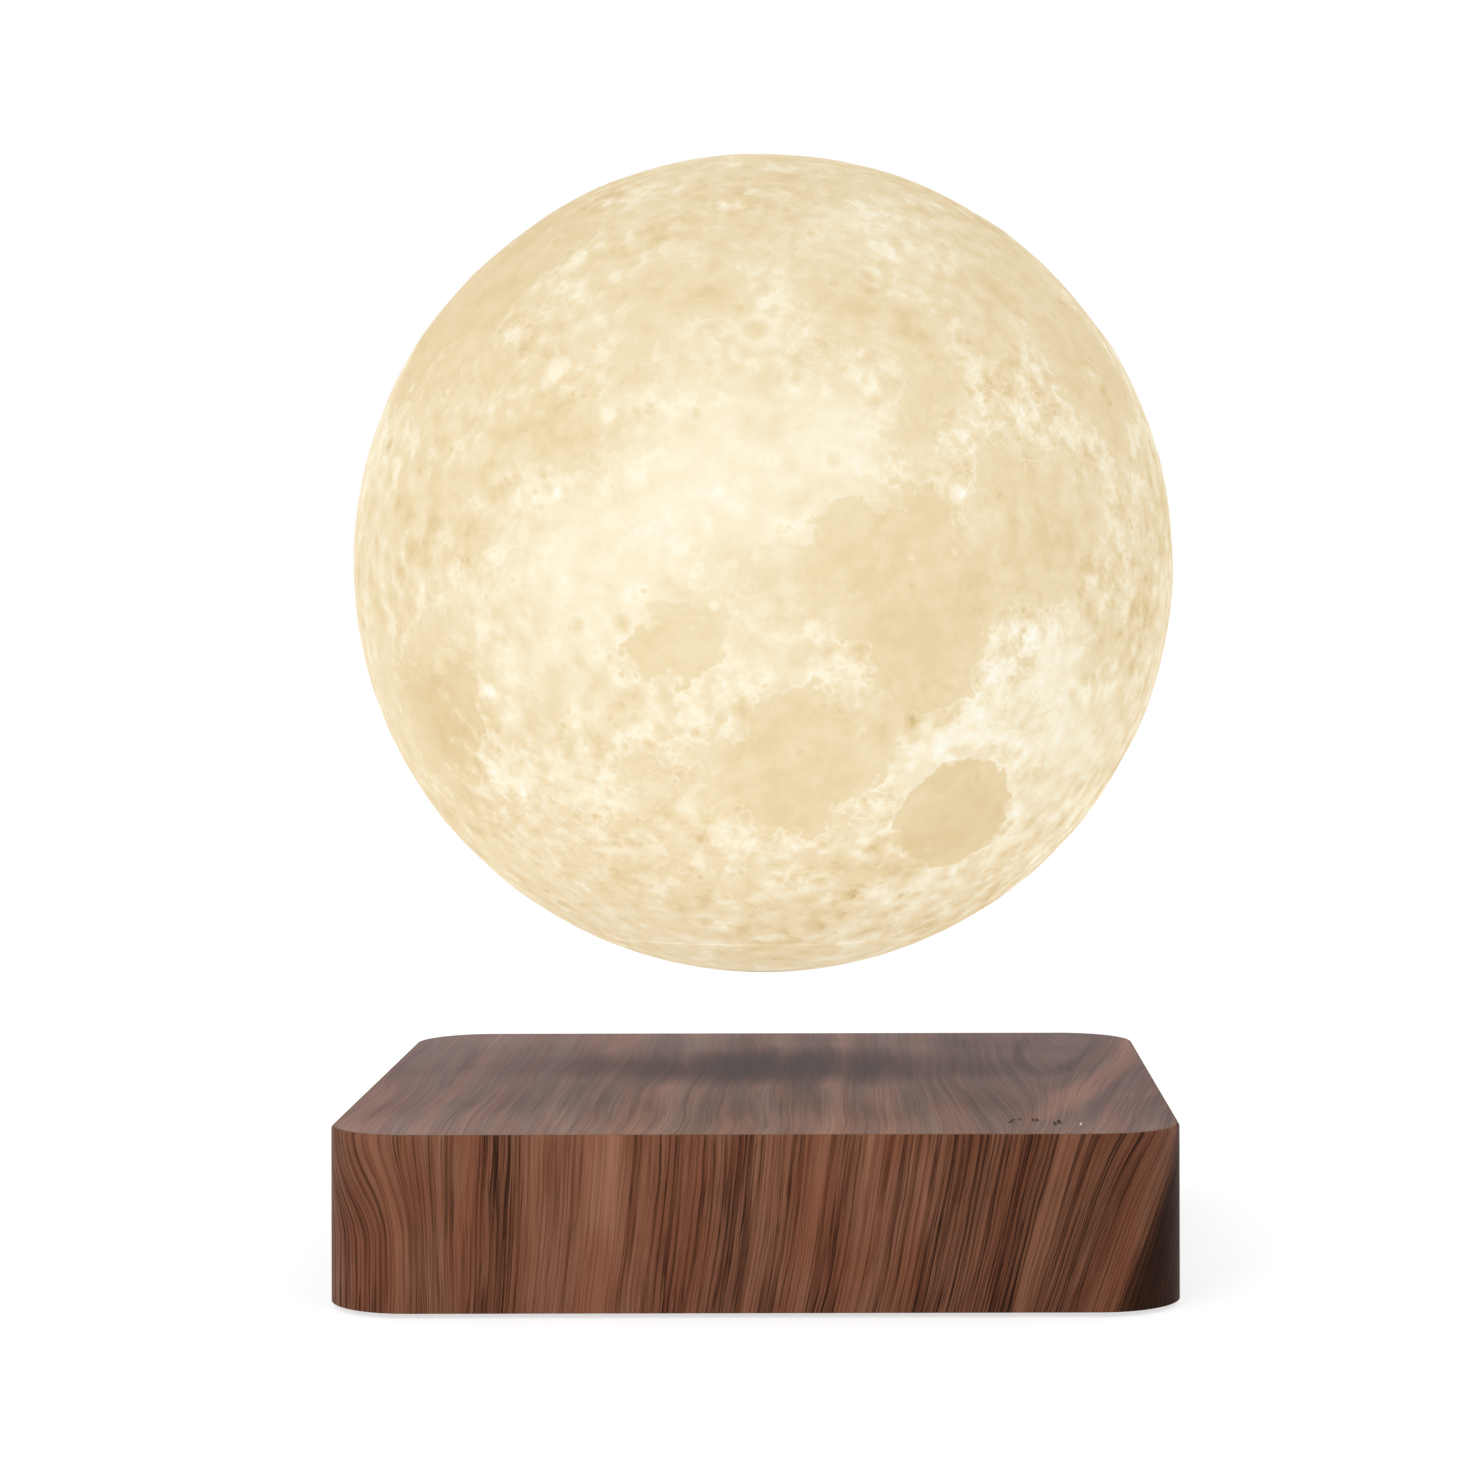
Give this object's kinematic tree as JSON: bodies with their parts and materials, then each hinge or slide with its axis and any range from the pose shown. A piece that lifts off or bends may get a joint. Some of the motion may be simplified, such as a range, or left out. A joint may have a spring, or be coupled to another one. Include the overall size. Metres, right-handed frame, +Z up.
{
  "type": "levitating moon lamp",
  "caption": "Table lamp whose hollow moon-shaped globe floats above a square wood-grain base, turns freely and lifts off; the base holds magnets, coils and a touch key.",
  "frame": {"origin": "centre of the base's footprint, on the surface that the four feet stand on", "axes": "+Z up along the axis that the globe floats and turns about, +Y to the rear with the power socket, +X to the right with the touch key at the front right"},
  "size_m": [0.1784, 0.1784, 0.2382],
  "materials": {
    "wood_film": "satin walnut wood-grain film",
    "globe_plastic": "matte printed plastic, lit warm from inside",
    "cap_plastic": "matte",
    "black_plastic": "matte",
    "rubber": "matte",
    "steel": "zinc plated",
    "nickel": "nickel plated",
    "copper": "enamelled copper wire",
    "board_green": "satin solder mask",
    "board_white": "satin",
    "aluminium": "satin",
    "foam": "matte conductive foam",
    "ferrite": "matte",
    "clear_plastic": "gloss",
    "lead_red": "satin",
    "led_yellow": "satin"
  },
  "bodies": {
    "base": {"base_cover": "wood_film", "bottom_plate": "black_plastic", "foot_1": "rubber", "foot_2": "rubber", "foot_3": "rubber", "foot_4": "rubber", "plate_screw_1": "steel", "plate_screw_2": "steel", "plate_screw_3": "steel", "plate_screw_4": "steel", "control_board": "board_green", "mcu_chip": "black_plastic", "coil_driver_chip": "black_plastic", "filter_capacitor": "aluminium", "power_inductor": "ferrite", "yoke_ring": "steel", "magnet_carrier": "black_plastic", "base_magnet_1": "nickel", "base_magnet_2": "nickel", "base_magnet_3": "nickel", "base_magnet_4": "nickel", "base_magnet_5": "nickel", "base_magnet_6": "nickel", "module_screw_1": "steel", "module_screw_2": "steel", "module_screw_3": "steel", "coil_frame": "black_plastic", "coil_winding_1": "copper", "coil_winding_2": "copper", "coil_winding_3": "copper", "coil_winding_4": "copper", "coil_core_1": "steel", "coil_core_2": "steel", "coil_core_3": "steel", "coil_core_4": "steel", "sensor_board": "board_green", "coil_tray": "black_plastic", "power_coil": "copper", "power_coil_lead": "lead_red", "dc_jack": "black_plastic", "dc_jack_pin": "nickel", "indicator_light_pipe": "clear_plastic", "indicator_led": "board_white", "touch_board": "board_green", "touch_pad": "foam", "touch_lead": "lead_red"},
    "float_unit": {"float_magnet": "nickel"},
    "moon": {"moon_shell": "globe_plastic", "neck_ring": "cap_plastic", "shell_cap": "cap_plastic", "cap_screw_1": "steel", "cap_screw_2": "steel", "cap_screw_3": "steel", "receiver_coil": "copper", "receiver_board": "board_green", "led_post": "aluminium", "led_board": "board_white", "led_chip": "led_yellow", "led_lens": "clear_plastic", "led_lead": "lead_red"}
  },
  "joints": [
    {"name": "moon_lift", "type": "slide", "parent": "base", "child": "float_unit", "axis": [0, 0, 1], "range_m": [-0.023, 0.12], "stiffness_N_per_m": 250, "springref_m": 0.0156},
    {"name": "moon_spin", "type": "hinge", "parent": "float_unit", "child": "moon", "pos_m": [0, 0, 0.1489], "axis": [0, 0, 1], "continuous": true}
  ]
}
